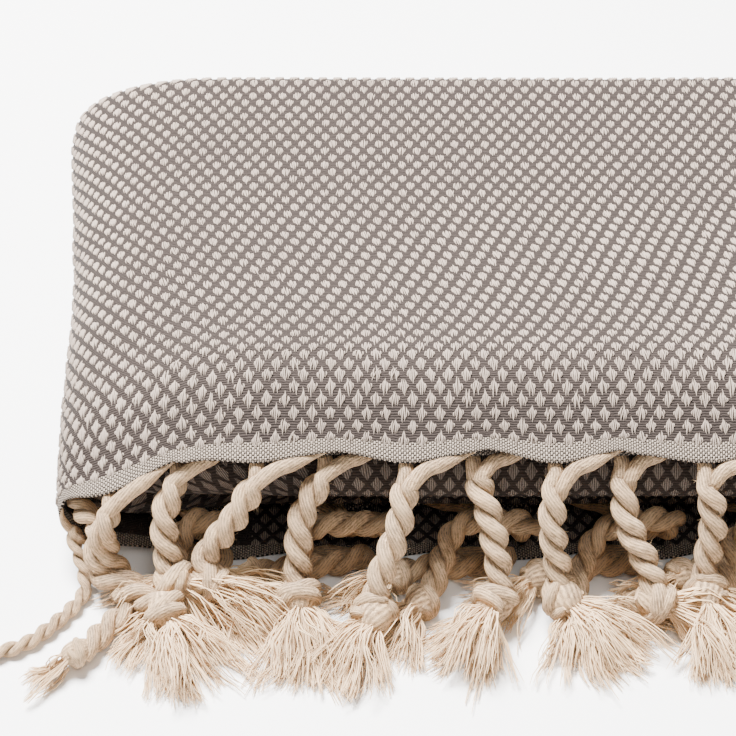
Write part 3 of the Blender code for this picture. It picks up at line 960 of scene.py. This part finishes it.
def diamond_reach(graph, u, v):
    """How far out of the nearest diamond's middle a point is, 1 at HALF_WIDE across or HALF_LONG along."""
    nearest = None
    for shift in (0.0, 0.5):
        a = graph.plus(graph.math("DIVIDE", u, DIAMOND_WIDE / MM), FIRST_COLUMN + shift)
        b = graph.plus(graph.math("DIVIDE", graph.minus(v, FIRST_ROW / MM), DIAMOND_LONG / MM), 0.5 + shift)
        a = graph.math("ABSOLUTE", graph.minus(graph.math("FRACT", a), 0.5))
        b = graph.math("ABSOLUTE", graph.minus(graph.math("FRACT", b), 0.5))
        a = graph.times(a, DIAMOND_WIDE / MM / HALF_WIDE)
        b = graph.times(b, DIAMOND_LONG / MM / HALF_LONG)
        reach = graph.plus(a, b)
        nearest = reach if nearest is None else graph.math("MINIMUM", nearest, reach)
    return nearest


def woven_material():
    """The ground weave: fine weft ribs, woven diamonds where no raised ones lie, and a plain heading."""
    graph = Graph("woven_diamonds")
    vector, across, along = graph.uv()
    u = graph.times(across, 1 / MM)
    v = graph.times(graph.math("MINIMUM", along, graph.minus(TOWEL_LENGTH, along)), 1 / MM)
    wobble = graph.noise(vector, 900.0)
    fine = graph.noise(vector, 4200.0)
    # Weft ribs
    rib = graph.wave(graph.plus(graph.math("DIVIDE", v, RIB_PITCH), graph.times(wobble, 0.9)))
    rib = graph.times(rib, graph.plus(0.55, graph.times(fine, 0.9)))
    ground = graph.mix(graph.smooth(rib, 0.15, 0.95), RIB_GAP, RIB)
    # Woven diamonds, with painted shade between their strands. Raised strands cover those of the outer face,
    # so those are smaller here and take painted shade, as under the raised strands.
    strand = graph.wave(u, FLOAT_PITCH)
    nearest = graph.plus(diamond_reach(graph, u, v), graph.centred(fine, 0.35))
    in_length = graph.math("LESS_THAN", along, RAISED_LENGTH)
    raised = graph.times(in_length, graph.math("LESS_THAN", u, RAISED_WIDTH / MM))
    limit = graph.minus(DIAMOND_REACH, graph.times(raised, RAISED_CUT))
    body = graph.smooth(graph.minus(v, HEADING / MM - 0.4), 0.0, 0.5)
    diamond = graph.times(graph.smooth(graph.minus(limit, nearest), 0.0, 0.14), body)
    float_colour = graph.mix(graph.smooth(strand, 0.1, 0.75), IVORY_SHADE, IVORY)
    float_colour = graph.mix(raised, float_colour, IVORY_SHADE)
    # Plain heading, each warp thread half a step on from the last
    drop = graph.plus(v, graph.times(graph.math("FLOOR", graph.math("DIVIDE", u, THREAD_PITCH)), 0.5))
    grain = graph.times(graph.wave(drop), graph.wave(u, THREAD_PITCH))
    grain = graph.plus(grain, graph.centred(fine, 0.5))
    heading = graph.mix(graph.smooth(grain, 0.12, 0.5), RIB_GAP, HEADING_IVORY)
    colour = graph.mix(diamond, graph.mix(body, heading, ground), float_colour)
    height = graph.plus(graph.times(rib, 0.25), graph.times(diamond, graph.plus(0.5, strand)))
    height = graph.plus(height, graph.times(graph.minus(1.0, body), grain))
    graph.bump(height, 0.9, 0.35 * MM)
    # Painted shade on the layers inside the stack
    return graph.finish(graph.shaded(colour, INSIDE_SHADE, INSIDE_PAINTED_SHADE))


def float_material():
    """Ivory strands with painted shade along both sides, and random tone."""
    graph = Graph("woven_floats")
    _, side, _ = graph.uv()
    fine = graph.noise(graph.place(), 1800.0)
    broad = graph.noise(graph.place(), 45.0)
    # Painted shade towards each strand's sides, lightest on its ridge
    round_it = graph.minus(1.0, graph.times(graph.math("ABSOLUTE", graph.minus(side, 0.5)), 2.0))
    share = graph.plus(graph.times(round_it, 0.9), graph.times(fine, 0.5))
    share = graph.plus(share, graph.centred(broad, 0.4))
    graph.bump(fine, 0.4, 0.1 * MM)
    colour = graph.mix(graph.smooth(share, 0.25, 1.0), IVORY_SHADE, IVORY)
    # Painted shade on the strands inside the stack
    return graph.finish(graph.shaded(colour, INSIDE_SHADE, INSIDE_PAINTED_SHADE))


def cord_material():
    """Soft cotton plies, with fine strands winding along them."""
    graph = Graph("twisted_cotton")
    vector, around, along = graph.uv()
    phase = graph.plus(graph.times(around, STRANDS_ROUND), graph.times(along, STRANDS_ALONG / MM))
    phase = graph.plus(phase, graph.times(graph.noise(vector, 500.0), 1.6))
    strand = graph.wave(phase)
    fibre = graph.noise(graph.pair(graph.times(phase, 2.0), graph.times(along, 0.9 / MM)), 1.0, 3.0)
    fuzz = graph.noise(graph.place(), 3600.0, 3.0)
    broad = graph.noise(graph.place(), 130.0)
    # Darker in the grooves between strands as painted shade, with fibre marks and random tone as well
    light = graph.plus(graph.times(strand, 0.32), graph.times(fibre, 1.15))
    light = graph.plus(graph.plus(light, graph.centred(fuzz, 0.5)), graph.centred(broad, 0.5))
    colour = graph.mix(graph.smooth(light, 0.38, 1.0), CREAM_SHADE, CREAM)
    graph.bump(graph.plus(strand, graph.plus(fibre, fuzz)), 1.0, 0.25 * MM)
    # Painted shade in the crevices between the plies
    return graph.finish(graph.shaded(colour, CREVICE_SHADE, CREVICE_PAINTED_SHADE), sheen=0.12)


def tuft_material():
    """Cream threads, a little darker in places."""
    graph = Graph("loose_threads")
    broad = graph.noise(graph.place(), 220.0)
    return graph.finish(graph.mix(graph.smooth(broad, 0.3, 0.7), TUFT_SHADE, TUFT_CREAM), sheen=0.12)


# ---------------- camera, floor and light
CAMERA_UP = math.radians(41.2)
CAMERA_AWAY = 400.0 * MM
# The middle of the picture: how far right of the fold's corner, and how far up from the fringed edge
AIM_RIGHT = 67.0 * MM
AIM_UP = 19.6 * MM
FLOOR_HALF = 6.0
FLOOR_DARK = (0.93, 0.92, 0.91, 1.0)
FLOOR_LIGHT = (0.96, 0.955, 0.95, 1.0)
WORLD_COLOUR = (1.0, 0.99, 0.975, 1.0)
WORLD_STRENGTH = 0.18
WARM_WHITE = (1.0, 0.97, 0.93)


def place_camera():
    """In front of the towel, looking down at its fringed edge."""
    front = cloth_point(np.array(TOWEL_WIDTH / 4), np.array(0.0), True)
    up = np.array([0.0, math.sin(CAMERA_UP), math.cos(CAMERA_UP)])
    away = np.array([0.0, -math.cos(CAMERA_UP), math.sin(CAMERA_UP)])
    target = np.array([AIM_RIGHT - ORIGIN[0], front[1], front[2]]) + AIM_UP * up
    data = bpy.data.cameras.new("camera")
    data.lens = 90.0
    data.sensor_width = 36.0
    data.clip_start = 0.01
    camera = bpy.data.objects.new("camera", data)
    camera.location = target + away * CAMERA_AWAY
    camera.rotation_euler = (math.pi / 2 - CAMERA_UP, 0.0, 0.0)
    bpy.context.scene.collection.objects.link(camera)
    bpy.context.scene.camera = camera


def area_light(name, place, size, power, colour=(1.0, 1.0, 1.0)):
    """A round soft light that looks at the middle of the floor."""
    data = bpy.data.lights.new(name, "AREA")
    data.shape = "DISK"
    data.size = size
    data.energy = power
    data.color = colour
    light = bpy.data.objects.new(name, data)
    light.location = place
    light.rotation_euler = (-Vector(place)).to_track_quat("-Z", "Y").to_euler()
    bpy.context.scene.collection.objects.link(light)


def studio():
    """A pale floor, a soft world and two lights."""
    graph = Graph("pale_floor")
    graph.finish(graph.mix(graph.noise(graph.place(), 9.0), FLOOR_DARK, FLOOR_LIGHT), 0.8, 0.0)
    size = FLOOR_HALF
    points = [(-size, -size, 0.0), (size, -size, 0.0), (size, size, 0.0), (-size, size, 0.0)]
    new_piece("floor", points, [np.array([[0, 1, 2, 3]])], graph.material)
    world = bpy.data.worlds.new("studio")
    world.use_nodes = True
    world.node_tree.nodes["Background"].inputs["Color"].default_value = WORLD_COLOUR
    world.node_tree.nodes["Background"].inputs["Strength"].default_value = WORLD_STRENGTH
    bpy.context.scene.world = world
    area_light("key", (-0.28, 0.26, 1.0), 0.5, 97.0)
    area_light("front", (0.15, -0.6, 1.0), 0.7, 5.0, WARM_WHITE)


def main():
    """Build the towel as seven pieces, with its studio."""
    place_camera()
    floats = float_material()
    twisted = cord_material()
    loose = tuft_material()
    points, faces, flat, shade = towel_mesh()
    towel = new_piece("towel_sheet", points, [faces], woven_material(), flat, shade)
    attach(towel, "root")
    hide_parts("towel_cloth")
    for name, along in RAISED_BANDS:
        piece = floats_mesh((0.0, RAISED_WIDTH), along).piece(name, floats)
        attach(piece, "root")
        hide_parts("towel_cloth")
    for outer, name in ((True, "fringe_outer"), (False, "fringe_inner")):
        cords, tufts = fringe(outer)
        for heap, label, material in ((cords, "cords", twisted), (tufts, "threads", loose)):
            piece = heap.piece(f"{name}_{label}", material)
            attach(piece, "root")
            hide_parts(name)
    studio()


main()
